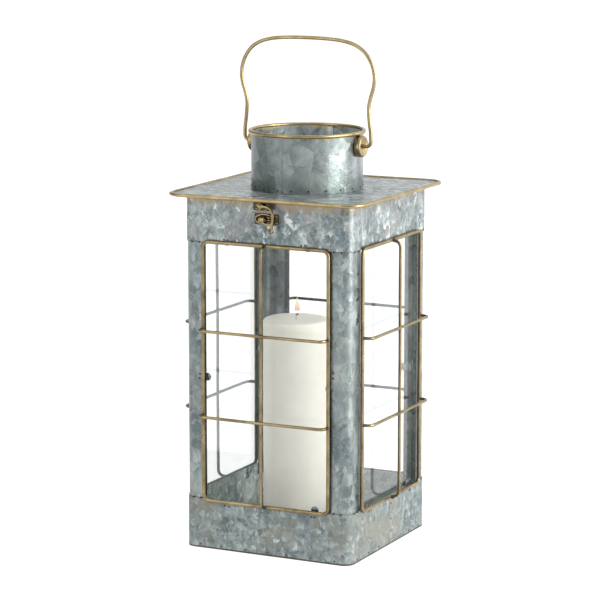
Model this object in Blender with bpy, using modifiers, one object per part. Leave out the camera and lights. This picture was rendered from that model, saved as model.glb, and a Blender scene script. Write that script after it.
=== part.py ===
# Square candle lantern: galvanised sheet body with four glazed sides, a hinged flat
# lid with an open chimney collar, brass-coloured wire trim and a wire bail.
# Frame: metres, +Z up, origin at the centre of the underside of the floor. The latch
# is on the front (-Y), the lid hinge on the rear (+Y), the bail lugs on +X and -X.

import math

import bmesh
import bpy
from mathutils import Matrix, Vector

# Sheet metal and fits
sheet = 0.0008
fit_gap = 0.0003
turning_gap = 0.0004

# Body
body_width = 0.208
corner_radius = 0.012
base_height = 0.058
window_height = 0.2945
top_band_height = 0.0527
post_leg = 0.0270
post_lap = 0.014
floor_flange = 0.010

# Lid and chimney collar
lid_overhang = 0.015
lid_corner_radius = 0.018
lid_wire = 0.0042
collar_diameter = 0.127
collar_height = 0.0620
collar_wire = 0.0044
lip_height = 0.006

# Bail and its lugs
lug_diameter = 0.024
lug_thickness = 0.0072
lug_dish = 0.0012
lug_edge = 0.0008
lug_hollow_share = 0.62
lug_crown_share = 0.84
bail_wire = 0.0042
bail_height = 0.1215
bail_foot_out = 0.0104
bail_waist_in = 0.0028
bail_bend = 0.0060
bail_socket = 0.0055
# Each side of the bail: out from the waist, then share of the height
bail_side = ((0.0025, 0.13), (0.0007, 0.25), (0.0, 0.36), (0.0020, 0.45), (0.0058, 0.56), (0.0068, 0.66))
# Its crown: share of the shoulder's reach, then share of the height
bail_crown = ((0.955, 0.78), (0.85, 0.885), (0.70, 0.95), (0.50, 0.984), (0.25, 0.997), (0.0, 1.0))

# Window wires
frame_wire = 0.0038
frame_corner = 0.007
grille_wire = 0.0030
bow_stand = 0.0103
bow_bend = 0.0070

# Glass and the tabs that hold it
glass = 0.002
glass_lap = 0.0022
tab_width = 0.009
tab_foot = 0.0060
tab_neck = 0.0035
top_tab_places = (-0.050, 0.050)
bottom_tab_places = (-0.050, 0.059)

# Lid hinge
hinge_width = 0.060
knuckle_radius = 0.0030
hinge_pin_radius = 0.0012
hinge_leaf = 0.0010
body_leaf_height = 0.014
lid_leaf_reach = 0.0085

# Latch
latch_x = -0.0015
latch_drop = 0.0059
latch_plate_width = 0.0236
latch_plate_height = 0.0125
latch_stand = 0.0032
rivet_radius = 0.0012
rivet_head = 0.0026
rivet_crown = 0.0012
rivet_shoulder = 0.0010
rivet_washer = 0.0008
hook_eye = 0.0034
hook_bar = 0.0016
# Hook and claw: across and up from the pivot, then share of the bar's thickness
hook_path = (
    (0.0027, -0.0007, 0.90), (0.0068, -0.0012, 0.95), (0.0115, -0.0026, 1.00), (0.0147, -0.0075, 1.00),
    (0.0153, -0.0125, 1.00), (0.0151, -0.0180, 0.90), (0.0143, -0.0215, 1.00), (0.0137, -0.0250, 1.70),
    (0.0132, -0.0280, 1.70), (0.0130, -0.0302, 0.60),
)
claw_path = (
    (0.0151, -0.0188, 1.00), (0.0095, -0.0206, 0.95), (0.0050, -0.0200, 0.80), (0.0030, -0.0182, 0.55),
)
keeper_width = 0.030
keeper_height = 0.0124
keeper_drop = 0.0221
keeper_roll = 0.0036
keeper_corner = 0.0025
keeper_from_latch = 0.0030
barrel_shift = 0.0010
# Keeper barrel: share of the roll's radius, then distance along it
barrel_profile = (
    (0.0, 0.0082), (0.60, 0.0082), (0.96, 0.0077), (0.96, 0.0067), (0.72, 0.0064), (0.72, 0.0058),
    (0.98, 0.0055), (0.98, 0.0045), (0.72, 0.0042), (0.72, 0.0036), (1.0, 0.0030), (1.0, -0.0054),
    (0.80, -0.0062), (0.0, -0.0062),
)

# Candle
candle_diameter = 0.0762
candle_height = 0.254
candle_place = (-0.0111, -0.0055)
candle_edge = 0.0020
candle_foot_edge = 0.0010
candle_dish = 0.0010
wick_radius = 0.0008
wick_height = 0.0060
wick_socket = 0.010

# Facets
corner_steps = 6
lid_corner_steps = 15
ring_steps = 64
bend_steps = 5
lobe_steps = 6

# Worked out from the sizes above
body_half = body_width / 2
window_half = body_half - post_leg
post_half = body_half - sheet - fit_gap
window_low = base_height
window_high = base_height + window_height
body_top = window_high + top_band_height
lid_low = body_top + fit_gap
lid_top = lid_low + sheet
lid_wire_half = body_half + lid_overhang
lid_half = lid_wire_half - lid_wire / 2 - fit_gap
collar_radius = collar_diameter / 2
lip_radius = collar_radius - sheet - fit_gap
collar_low = lid_top + fit_gap
collar_wire_z = collar_low + collar_height + fit_gap + collar_wire / 2
lug_z = collar_wire_z - collar_wire / 2 - fit_gap - lug_diameter / 2
lug_face = collar_radius + fit_gap + lug_thickness
frame_plane = body_half + fit_gap + frame_wire / 2
bow_inner = frame_plane + frame_wire / 2 + fit_gap
cross_plane = frame_plane + bow_stand + grille_wire + fit_gap
upright_plane = frame_plane + bow_stand
glass_outer = post_half - sheet - fit_gap
glass_inner = glass_outer - glass
hinge_y = body_half + fit_gap + knuckle_radius
hinge_z = lid_low - fit_gap - knuckle_radius
floor_top = sheet
keeper_y = body_half + fit_gap
roll_y = keeper_y + sheet + keeper_roll
hook_y = roll_y + keeper_roll + turning_gap + hook_bar
latch_z = lid_low - latch_drop


def clear_scene():
    for item in list(bpy.data.objects):
        bpy.data.objects.remove(item, do_unlink=True)
    for name in ("candle_lantern", "cutters"):
        group = bpy.data.collections.new(name)
        bpy.context.scene.collection.children.link(group)


def make_material(name, colour, roughness, metallic, alpha=1.0):
    material = bpy.data.materials.new(name)
    material.use_nodes = True
    shader = material.node_tree.nodes["Principled BSDF"]
    shader.inputs["Base Color"].default_value = (*colour, 1.0)
    shader.inputs["Roughness"].default_value = roughness
    shader.inputs["Metallic"].default_value = metallic
    shader.inputs["Alpha"].default_value = alpha
    return material


def make_materials():
    return {
        "galvanised": make_material("galvanised_steel", (0.42, 0.45, 0.46), 0.45, 0.85),
        "brass": make_material("antique_brass", (0.50, 0.34, 0.14), 0.35, 0.95),
        "glass": make_material("clear_glass", (0.95, 0.97, 0.97), 0.03, 0.0, 0.35),
        "wax": make_material("ivory_wax", (0.88, 0.86, 0.78), 0.55, 0.0),
        "cotton": make_material("wick_cotton", (0.12, 0.10, 0.08), 0.9, 0.0),
    }


def add_object(name, data, material, parent=None, location=(0, 0, 0), rotation=(0, 0, 0)):
    item = bpy.data.objects.new(name, data)
    bpy.data.collections["candle_lantern"].objects.link(item)
    item.parent = parent
    item.location = location
    item.rotation_euler = rotation
    if material:
        item.data.materials.append(material)
    return item


def add_empty(name, location=(0, 0, 0), turn=0.0):
    empty = bpy.data.objects.new(name, None)
    bpy.data.collections["candle_lantern"].objects.link(empty)
    empty.location = location
    empty.rotation_euler = (0, 0, turn)
    return empty


def mesh_from(bm, name, smooth_angle=None):
    mesh = bpy.data.meshes.new(name)
    bm.to_mesh(mesh)
    bm.free()
    if smooth_angle:
        mesh.shade_smooth()
        mesh.set_sharp_from_angle(angle=smooth_angle)
    return mesh


def solidify(item, thickness, offset=-1.0):
    shell = item.modifiers.new("sheet", "SOLIDIFY")
    shell.thickness = thickness
    shell.offset = offset
    shell.use_even_offset = True


def join_shape(item, other):
    bpy.data.collections["candle_lantern"].objects.unlink(other)
    bpy.data.collections["cutters"].objects.link(other)
    other.hide_render = True
    other.display_type = "WIRE"
    union = item.modifiers.new("join", "BOOLEAN")
    union.operation = "UNION"
    union.solver = "EXACT"
    union.object = other


def cut_shape(item, other):
    join_shape(item, other)
    item.modifiers[-1].name = "cut"
    item.modifiers[-1].operation = "DIFFERENCE"


def arc(centre_a, centre_b, radius, start, end, steps):
    turns = [start + (end - start) * i / steps for i in range(steps + 1)]
    return [(centre_a + radius * math.cos(t), centre_b + radius * math.sin(t)) for t in turns]


def rounded_outline(half_a, half_b, radius, steps):
    points = []
    for quarter in range(4):
        start = math.radians(90 * quarter - 90)
        side_a = 1 if quarter in (0, 1) else -1
        side_b = 1 if quarter in (1, 2) else -1
        points += arc(side_a * (half_a - radius), side_b * (half_b - radius), radius,
                      start, start + math.pi / 2, steps)
    return points


def wall_mesh(name, outline, low, high, closed):
    bm = bmesh.new()
    bottom = [bm.verts.new((x, y, low)) for x, y in outline]
    top = [bm.verts.new((x, y, high)) for x, y in outline]
    for i in range(len(outline) if closed else len(outline) - 1):
        j = (i + 1) % len(outline)
        bm.faces.new((bottom[i], bottom[j], top[j], top[i]))
    return mesh_from(bm, name, math.radians(40))


def box_mesh(name, low, high):
    bm = bmesh.new()
    bmesh.ops.create_cube(bm, size=1)
    size = Vector(high) - Vector(low)
    bmesh.ops.scale(bm, vec=size, verts=bm.verts)
    bmesh.ops.translate(bm, vec=(Vector(high) + Vector(low)) / 2, verts=bm.verts)
    return mesh_from(bm, name)


def cylinder_mesh(name, radius, length, steps):
    bm = bmesh.new()
    bmesh.ops.create_cone(bm, cap_ends=True, segments=steps, radius1=radius, radius2=radius, depth=length)
    return mesh_from(bm, name, math.radians(40))


def add_turned(name, profile, steps, material, parent, location, rotation, closed=True):
    bm = bmesh.new()
    verts = [bm.verts.new((radius, 0, height)) for radius, height in profile]
    for i in range(len(verts) if closed else len(verts) - 1):
        bm.edges.new((verts[i], verts[(i + 1) % len(verts)]))
    item = add_object(name, mesh_from(bm, name), material, parent, location, rotation)
    screw = item.modifiers.new("turn", "SCREW")
    screw.steps = steps
    screw.render_steps = steps
    screw.use_merge_vertices = True
    screw.merge_threshold = 0.00001
    screw.use_smooth_shade = True
    return item


def add_wire(name, points, diameter, cyclic, material, parent=None, location=(0, 0, 0)):
    curve = bpy.data.curves.new(name, "CURVE")
    curve.dimensions = "3D"
    curve.bevel_depth = diameter / 2
    curve.bevel_resolution = 2
    curve.use_fill_caps = not cyclic
    spline = curve.splines.new("POLY")
    spline.points.add(len(points) - 1)
    for slot, point in zip(spline.points, points):
        slot.co = (*point[:3], 1)
        slot.radius = point[3] if len(point) > 3 else 1
    spline.use_cyclic_u = cyclic
    return add_object(name, curve, material, parent, location)


def wire_to_mesh(item):
    graph = bpy.context.evaluated_depsgraph_get()
    mesh = bpy.data.meshes.new_from_object(item.evaluated_get(graph))
    bm = bmesh.new()
    bm.from_mesh(mesh)
    bmesh.ops.remove_doubles(bm, verts=bm.verts, dist=0.00001)
    bmesh.ops.recalc_face_normals(bm, faces=bm.faces)
    bm.to_mesh(mesh)
    bm.free()
    name = item.name
    material = item.data.materials[0]
    parent = item.parent
    place = item.location.copy()
    bpy.data.objects.remove(item, do_unlink=True)
    mesh.materials.clear()
    return add_object(name, mesh, material, parent, place)


def smooth_path(points, steps):
    ends = [2 * Vector(points[0]) - Vector(points[1]), 2 * Vector(points[-1]) - Vector(points[-2])]
    knots = [ends[0]] + [Vector(p) for p in points] + [ends[1]]
    path = []
    for before, here, after, beyond in zip(knots, knots[1:], knots[2:], knots[3:]):
        for i in range(steps):
            t = i / steps
            path.append(0.5 * (2 * here + (after - before) * t
                               + (2 * before - 5 * here + 4 * after - beyond) * t ** 2
                               + (3 * here - before - 3 * after + beyond) * t ** 3))
    path.append(knots[-2])
    return path


def add_base(metal):
    outline = rounded_outline(body_half, body_half, corner_radius, corner_steps)
    band = add_object("base_band", wall_mesh("base_band", outline, 0, base_height, True), metal)
    solidify(band, sheet)

    inset = sheet + fit_gap
    outline = rounded_outline(post_half, post_half, corner_radius - inset, corner_steps)
    mesh = wall_mesh("floor_pan", outline, 0, floor_flange, True)
    bm = bmesh.new()
    bm.from_mesh(mesh)
    bm.faces.new([v for v in reversed(list(bm.verts)) if v.co.z < floor_flange / 2])
    bm.to_mesh(mesh)
    bm.free()
    pan = add_object("floor_pan", mesh, metal)
    solidify(pan, sheet)


def add_top_band(metal):
    outline = rounded_outline(body_half, body_half, corner_radius, corner_steps)
    mesh = wall_mesh("top_band", outline, window_high, body_top, True)
    solidify(add_object("top_band", mesh, metal), sheet)


def tab_mesh(name, step):
    half = tab_width / 2
    neck = tab_foot + tab_neck
    bm = bmesh.new()
    rows = [(0, 0), (tab_foot, 0), (tab_foot, step), (neck, step)]
    left = [bm.verts.new((u, -half, w)) for u, w in rows]
    right = [bm.verts.new((u, half, w)) for u, w in rows]
    for i in range(len(rows) - 1):
        bm.faces.new((left[i], left[i + 1], right[i + 1], right[i]))
    nose = arc(neck, 0, half, -math.pi / 2, math.pi / 2, 8)[1:-1]
    bm.faces.new([left[-1]] + [bm.verts.new((u, v, step)) for u, v in nose] + [right[-1]])
    return mesh_from(bm, name)


def tab_matrix(foot, toward, inward):
    toward = Vector(toward)
    inward = Vector(inward)
    across = inward.cross(toward)
    turn = Matrix((toward, across, inward)).transposed().to_4x4()
    return Matrix.Translation(foot) @ turn


def add_posts(metal):
    inset = sheet + fit_gap
    radius = corner_radius - inset
    bend = arc(post_half - radius, radius - post_half, radius, -math.pi / 2, 0, corner_steps)
    outline = [(window_half, -post_half)] + bend + [(post_half, -window_half)]
    low = window_low - post_lap
    high = window_high + post_lap
    middle = (window_low + window_high) / 2
    weld = sheet / 4
    inner = post_half - sheet + weld
    foot = window_half + glass_lap + fit_gap + tab_foot
    step = inner - glass_inner + fit_gap
    for i, name in enumerate(("front_right", "rear_right", "rear_left", "front_left")):
        corner = add_empty("corner_" + name, turn=math.radians(90 * i))
        mesh = wall_mesh("corner_post_" + name, outline, low, high, False)
        post = add_object("corner_post_" + name, mesh, metal, corner)
        solidify(post, sheet)
        places = (
            tab_matrix((foot, -inner, middle), (-1, 0, 0), (0, 1, 0)),
            tab_matrix((inner, -foot, middle), (0, 1, 0), (-1, 0, 0)),
        )
        for j, place in enumerate(places):
            tab = add_object(f"side_tab_{name}_{j}", tab_mesh("side_tab", step), None, corner)
            tab.matrix_local = place
            solidify(tab, sheet, 1.0)
            join_shape(post, tab)


def bow_path(half, lift):
    straight = lift - bow_bend
    start = arc(-half + bow_bend, straight, bow_bend, math.pi, math.pi / 2, bend_steps)
    finish = [(-a, b) for a, b in reversed(start)]
    return [(-half, 0)] + start + finish + [(half, 0)]


def add_side(name, index, materials):
    side = add_empty("side_" + name, turn=math.radians(90 * index))
    middle = (window_low + window_high) / 2
    half_height = window_height / 2

    spread = frame_wire / 4
    loop = rounded_outline(window_half + spread, half_height + spread, frame_corner, corner_steps)
    points = [(x, -frame_plane, middle + z) for x, z in loop]
    add_wire(f"window_frame_{name}", points, frame_wire, True, materials["brass"], side)

    upright = bow_path(half_height, upright_plane - bow_inner)
    points = [(0, -bow_inner - out, middle + z) for z, out in upright]
    add_wire(f"upright_wire_{name}", points, grille_wire, False, materials["brass"], side)

    cross = bow_path(window_half + spread, cross_plane - bow_inner)
    for level, third in (("lower", -1), ("upper", 1)):
        height = middle + third * window_height / 6
        points = [(x, -bow_inner - out, height) for x, out in cross]
        add_wire(f"cross_wire_{name}_{level}", points, grille_wire, False, materials["brass"], side)

    reach = window_half + glass_lap
    low = (-reach, -glass_outer, window_low - glass_lap)
    high = (reach, -glass_inner, window_high + glass_lap)
    add_object(f"glass_pane_{name}", box_mesh("glass_pane", low, high), materials["glass"], side)

    outer = body_half - sheet - fit_gap
    step = outer - glass_inner + fit_gap
    rise = glass_lap + fit_gap + tab_foot
    rows = (
        ("top", top_tab_places, window_high + rise, (0, 0, -1)),
        ("bottom", bottom_tab_places, window_low - rise, (0, 0, 1)),
    )
    for row, places, height, toward in rows:
        for end, x in zip(("left", "right"), places):
            mesh = tab_mesh("glass_tab", step)
            tab = add_object(f"glass_tab_{name}_{row}_{end}", mesh, materials["galvanised"], side)
            tab.matrix_local = tab_matrix((x, -outer, height), toward, (0, 1, 0))
            solidify(tab, sheet, 1.0)


def add_lid(lid, materials):
    metal = materials["galvanised"]
    up = -lid.location.z
    back = -lid.location.y
    outer = rounded_outline(lid_half, lid_half, lid_corner_radius, lid_corner_steps)
    phase = -math.pi / 2
    inner = [(lip_radius * math.cos(phase + math.tau * i / ring_steps),
              lip_radius * math.sin(phase + math.tau * i / ring_steps)) for i in range(ring_steps)]
    bm = bmesh.new()
    rows = []
    for outline, height in ((outer, lid_top), (inner, lid_top), (inner, lid_top + lip_height)):
        rows.append([bm.verts.new((x, y, height)) for x, y in outline])
    for row, following in zip(rows, rows[1:]):
        for i in range(ring_steps):
            j = (i + 1) % ring_steps
            bm.faces.new((row[i], row[j], following[j], following[i]))
    mesh = mesh_from(bm, "lid_plate", math.radians(40))
    solidify(add_object("lid_plate", mesh, metal, lid, (0, back, up)), sheet)

    wire_radius = lid_corner_radius + lid_wire / 2 + fit_gap
    loop = rounded_outline(lid_wire_half, lid_wire_half, wire_radius, corner_steps)
    points = [(x, y, lid_top - sheet / 2) for x, y in loop]
    add_wire("lid_rim", points, lid_wire, True, materials["brass"], lid, (0, back, up))

    circle = [(collar_radius * math.cos(phase + math.tau * i / ring_steps),
               collar_radius * math.sin(phase + math.tau * i / ring_steps)) for i in range(ring_steps)]
    mesh = wall_mesh("collar", circle, collar_low, collar_low + collar_height, True)
    solidify(add_object("collar", mesh, metal, lid, (0, back, up)), sheet)

    middle = collar_radius + collar_wire / 4
    points = [(middle * x / collar_radius, middle * y / collar_radius, collar_wire_z) for x, y in circle]
    add_wire("collar_rim", points, collar_wire, True, materials["brass"], lid, (0, back, up))

    bore = bail_wire / 2 + turning_gap
    radius = lug_diameter / 2
    profile = [
        (bore, 0), (bore, lug_thickness - lug_dish), (radius * lug_hollow_share, lug_thickness - lug_dish),
        (radius * lug_crown_share, lug_thickness), (radius - lug_edge, lug_thickness),
        (radius, lug_thickness - lug_edge), (radius, 0),
    ]
    for name, way in (("right", 1), ("left", -1)):
        place = (way * (collar_radius + fit_gap), back, lug_z + up)
        add_turned(f"bail_lug_{name}", profile, 32, materials["brass"], lid, place, (0, way * math.pi / 2, 0))


def add_bail(lid, material):
    foot = lug_face + bail_foot_out - bail_wire / 2
    waist = foot - bail_waist_in
    shoulder = waist + bail_side[-1][0]
    top = bail_height - bail_wire / 2
    end = lug_face - bail_socket
    bend = arc(foot - bail_bend, bail_bend, bail_bend, -math.pi / 2, 0, bend_steps)
    side = [(foot, bail_bend)]
    side += [(waist + out, share * top) for out, share in bail_side]
    side += [(reach * shoulder, share * top) for reach, share in bail_crown]
    rise = [tuple(point) for point in smooth_path(side, 3)]
    right = [(end, 0)] + bend[:-1] + rise
    left = [(-x, z) for x, z in reversed(right[:-1])]
    points = [(x, 0, z) for x, z in right + left]
    place = (0, -lid.location.y, lug_z - lid.location.z)
    add_wire("bail", points, bail_wire, False, material, lid, place)


def knuckle_profile(low, high):
    bore = hinge_pin_radius + turning_gap
    return [(bore, low), (bore, high), (knuckle_radius, high), (knuckle_radius, low)]


def add_hinge(lid, materials):
    third = hinge_width / 3
    metal = materials["galvanised"]
    along_x = (0, math.pi / 2, 0)

    low = (-hinge_width / 2, body_half + fit_gap, hinge_z - body_leaf_height)
    high = (hinge_width / 2, body_half + fit_gap + hinge_leaf, hinge_z)
    leaf = add_object("hinge_body_leaf", box_mesh("hinge_body_leaf", low, high), metal)
    relief = (-third / 2 - turning_gap, low[1] - 0.001, hinge_z - knuckle_radius - turning_gap)
    relief_top = (third / 2 + turning_gap, high[1] + 0.001, hinge_z + 0.001)
    cut_shape(leaf, add_object("body_leaf_relief", box_mesh("body_leaf_relief", relief, relief_top), None))
    for name, start in (("left", -hinge_width / 2), ("right", third / 2 + turning_gap)):
        ends = (start, start + third - turning_gap)
        knuckle = add_turned(f"body_knuckle_{name}", knuckle_profile(*ends), 24, None, None,
                             (0, hinge_y, hinge_z), along_x)
        join_shape(leaf, knuckle)
    bore = cylinder_mesh("pin_bore", hinge_pin_radius + turning_gap, hinge_width + 0.01, 24)
    cut_shape(leaf, add_object("body_pin_bore", bore, None, None, (0, hinge_y, hinge_z), along_x))

    low = (-third / 2, 0, knuckle_radius - hinge_leaf)
    high = (third / 2, lid_leaf_reach, knuckle_radius)
    leaf = add_object("hinge_lid_leaf", box_mesh("hinge_lid_leaf", low, high), metal, lid)
    profile = knuckle_profile(-third / 2, third / 2)
    knuckle = add_turned("lid_knuckle", profile, 24, None, lid, (0, 0, 0), along_x)
    join_shape(leaf, knuckle)
    cut_shape(leaf, add_object("lid_pin_bore", bore.copy(), None, lid, (0, 0, 0), along_x))

    length = hinge_width + 0.002
    pin = cylinder_mesh("hinge_pin", hinge_pin_radius, length, 16)
    add_object("hinge_pin", pin, materials["brass"], None, (0, hinge_y, hinge_z), along_x)


def add_latch(lid, materials):
    brass = materials["brass"]
    shift = Vector((latch_x, 0, latch_z)) - lid.location
    facing = (math.pi / 2, 0, 0)

    plate_y = -(body_half + latch_stand)
    half = latch_plate_width / 2
    lobe = half / 3
    top = lid_low - fit_gap - latch_z
    lobe_line = top - latch_plate_height + lobe
    outline = [(half, top), (-half, top), (-half, lobe_line)]
    for centre in (-2 * lobe, 0, 2 * lobe):
        outline += arc(centre, lobe_line, lobe, math.pi, math.tau, lobe_steps)[1:]
    bm = bmesh.new()
    bm.faces.new([bm.verts.new((x, plate_y, z)) for x, z in outline])
    plate = add_object("latch_plate", mesh_from(bm, "latch_plate"), brass, lid, shift)
    solidify(plate, sheet, 1.0)
    reach = lid_wire_half - lid_wire / 2 - fit_gap
    flange = box_mesh("latch_flange", (-half, -reach, top - sheet), (half, plate_y, top))
    join_shape(plate, add_object("latch_flange", flange, None, lid, shift))
    hole = cylinder_mesh("rivet_hole", rivet_radius + turning_gap, 0.01, 16)
    cut_shape(plate, add_object("rivet_hole", hole, None, lid, shift + Vector((0, plate_y, 0)), facing))

    eye_back = hook_y - hook_bar
    eye_front = hook_y + hook_bar
    plate_back = -plate_y
    head_low = eye_front + fit_gap
    washer = plate_back - fit_gap
    profile = [
        (0, head_low + rivet_crown), (rivet_head * 0.7, head_low + rivet_shoulder),
        (rivet_head, head_low), (rivet_radius, head_low),
        (rivet_radius, eye_back - fit_gap), (rivet_head, eye_back - fit_gap),
        (rivet_head, plate_back + sheet + fit_gap), (rivet_radius, plate_back + sheet + fit_gap),
        (rivet_radius, washer), (rivet_head, washer),
        (rivet_head, washer - rivet_washer), (0, washer - rivet_washer),
    ]
    add_turned("latch_rivet", profile, 20, brass, lid, shift, facing, closed=False)

    pivot = shift + Vector((0, -hook_y, 0))
    bore = rivet_radius + turning_gap
    profile = [(bore, -hook_bar), (bore, hook_bar), (hook_eye, hook_bar), (hook_eye, -hook_bar)]
    bar = [(x, 0, z, share) for x, z, share in hook_path]
    hook = wire_to_mesh(add_wire("latch_hook", bar, 2 * hook_bar, False, brass, lid, pivot))
    eye = add_turned("hook_eye", profile, 20, None, lid, pivot, facing)
    join_shape(hook, eye)
    claw = [(x, 0, z, share) for x, z, share in claw_path]
    claw = wire_to_mesh(add_wire("hook_claw", claw, 2 * hook_bar, False, brass, lid, pivot))
    join_shape(hook, claw)

    centre = Vector((latch_x + keeper_from_latch, 0, lid_low - keeper_drop))
    half_w = keeper_width / 2
    half_h = keeper_height / 2
    low = (-half_w, -keeper_y - sheet, -half_h)
    high = (half_w, -keeper_y, half_h)
    keeper = add_object("latch_keeper", box_mesh("latch_keeper", low, high), brass, None, centre)
    bevel = keeper.modifiers.new("round", "BEVEL")
    bevel.width = keeper_corner
    bevel.segments = 3
    bevel.affect = "EDGES"
    bevel.limit_method = "WEIGHT"
    weights = keeper.data.attributes.new("bevel_weight_edge", "FLOAT", "EDGE")
    for edge in keeper.data.edges:
        ends = [keeper.data.vertices[i].co for i in edge.vertices]
        weights.data[edge.index].value = 1.0 if abs(ends[0].y - ends[1].y) > sheet / 2 else 0.0
    profile = [(share * keeper_roll, along) for share, along in barrel_profile]
    place = centre + Vector((-barrel_shift, -roll_y + sheet / 4, 0))
    barrel = add_turned("keeper_barrel", profile, 20, None, None, place, (0, math.pi / 2, 0), closed=False)
    join_shape(keeper, barrel)


def add_candle(materials):
    radius = candle_diameter / 2
    low = floor_top + fit_gap
    socket = wick_radius + fit_gap
    profile = [
        (0, candle_height - wick_socket), (socket, candle_height - wick_socket),
        (socket, candle_height - candle_dish), (radius * 0.6, candle_height - 0.6 * candle_dish),
        (radius - candle_edge, candle_height),
        (radius - 0.3 * candle_edge, candle_height - 0.3 * candle_edge),
        (radius, candle_height - candle_edge), (radius, candle_foot_edge),
        (radius - candle_foot_edge, 0), (0, 0),
    ]
    place = (*candle_place, low)
    candle = add_turned("candle", profile, 48, materials["wax"], None, place, (0, 0, 0), closed=False)
    base = candle_height - wick_socket + fit_gap
    tip = candle_height + wick_height
    points = [(0, 0, base), (0, 0, candle_height), (0.0004, 0, candle_height + 0.55 * wick_height),
              (0.0016, 0.0004, tip)]
    add_wire("wick", points, 2 * wick_radius, False, materials["cotton"], candle)


def main():
    clear_scene()
    materials = make_materials()
    add_base(materials["galvanised"])
    add_top_band(materials["galvanised"])
    add_posts(materials["galvanised"])
    for index, name in enumerate(("front", "right", "rear", "left")):
        add_side(name, index, materials)
    lid = add_empty("lid_axis", (0, hinge_y, hinge_z))
    add_lid(lid, materials)
    add_bail(lid, materials["brass"])
    add_hinge(lid, materials)
    add_latch(lid, materials)
    add_candle(materials)


main()
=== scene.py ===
from math import atan2, copysign, cos, pi, radians, sin, sqrt, tau

import bmesh
import bpy
from mathutils import Matrix, Vector, noise


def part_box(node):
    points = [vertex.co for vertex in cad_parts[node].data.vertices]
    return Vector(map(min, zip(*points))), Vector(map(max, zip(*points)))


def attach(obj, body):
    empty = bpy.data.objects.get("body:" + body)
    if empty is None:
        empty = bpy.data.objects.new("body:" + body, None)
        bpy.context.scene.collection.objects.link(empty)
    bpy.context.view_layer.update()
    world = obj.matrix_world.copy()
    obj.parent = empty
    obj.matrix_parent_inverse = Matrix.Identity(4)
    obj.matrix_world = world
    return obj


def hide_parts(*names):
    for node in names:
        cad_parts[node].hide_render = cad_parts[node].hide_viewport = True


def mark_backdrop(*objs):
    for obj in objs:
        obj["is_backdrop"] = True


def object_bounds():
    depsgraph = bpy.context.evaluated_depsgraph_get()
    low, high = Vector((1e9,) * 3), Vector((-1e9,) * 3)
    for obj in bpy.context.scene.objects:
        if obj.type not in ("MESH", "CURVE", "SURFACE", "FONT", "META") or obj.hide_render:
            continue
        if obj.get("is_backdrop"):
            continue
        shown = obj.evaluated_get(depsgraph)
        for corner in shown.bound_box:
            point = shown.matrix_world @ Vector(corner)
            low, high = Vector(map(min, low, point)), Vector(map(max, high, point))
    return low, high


# Square candle lantern: weathered galvanised sheet, gold-painted wires, glass and a pillar candle.
# Everything is in metres in the frame's own place, so a piece sits where its CAD node sits.

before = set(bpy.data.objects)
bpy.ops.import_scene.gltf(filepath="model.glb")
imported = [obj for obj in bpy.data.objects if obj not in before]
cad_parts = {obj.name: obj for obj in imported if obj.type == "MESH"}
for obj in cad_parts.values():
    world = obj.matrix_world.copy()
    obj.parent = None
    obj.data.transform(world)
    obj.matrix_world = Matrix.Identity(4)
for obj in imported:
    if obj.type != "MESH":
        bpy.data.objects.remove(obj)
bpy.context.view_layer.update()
scene = bpy.context.scene
noise.seed_set(1)  # otherwise the wires would wobble by the clock


class Signal:
    # wraps one output socket, so that shader maths reads like ordinary sums

    def __init__(self, paint, socket):
        self.paint = paint
        self.socket = socket

    def maths(self, operation, first, second):
        return self.paint.node("ShaderNodeMath", {"operation": operation}, {0: first, 1: second})[0]

    def __add__(self, other):
        return self.maths("ADD", self, other)

    def __radd__(self, other):
        return self.maths("ADD", other, self)

    def __sub__(self, other):
        return self.maths("SUBTRACT", self, other)

    def __rsub__(self, other):
        return self.maths("SUBTRACT", other, self)

    def __mul__(self, other):
        return self.maths("MULTIPLY", self, other)

    def __rmul__(self, other):
        return self.maths("MULTIPLY", other, self)


class Outputs:
    # a node's outputs, by name or by number

    def __init__(self, paint, node):
        self.paint = paint
        self.node = node

    def __getitem__(self, key):
        return Signal(self.paint, self.node.outputs[key])


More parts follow.
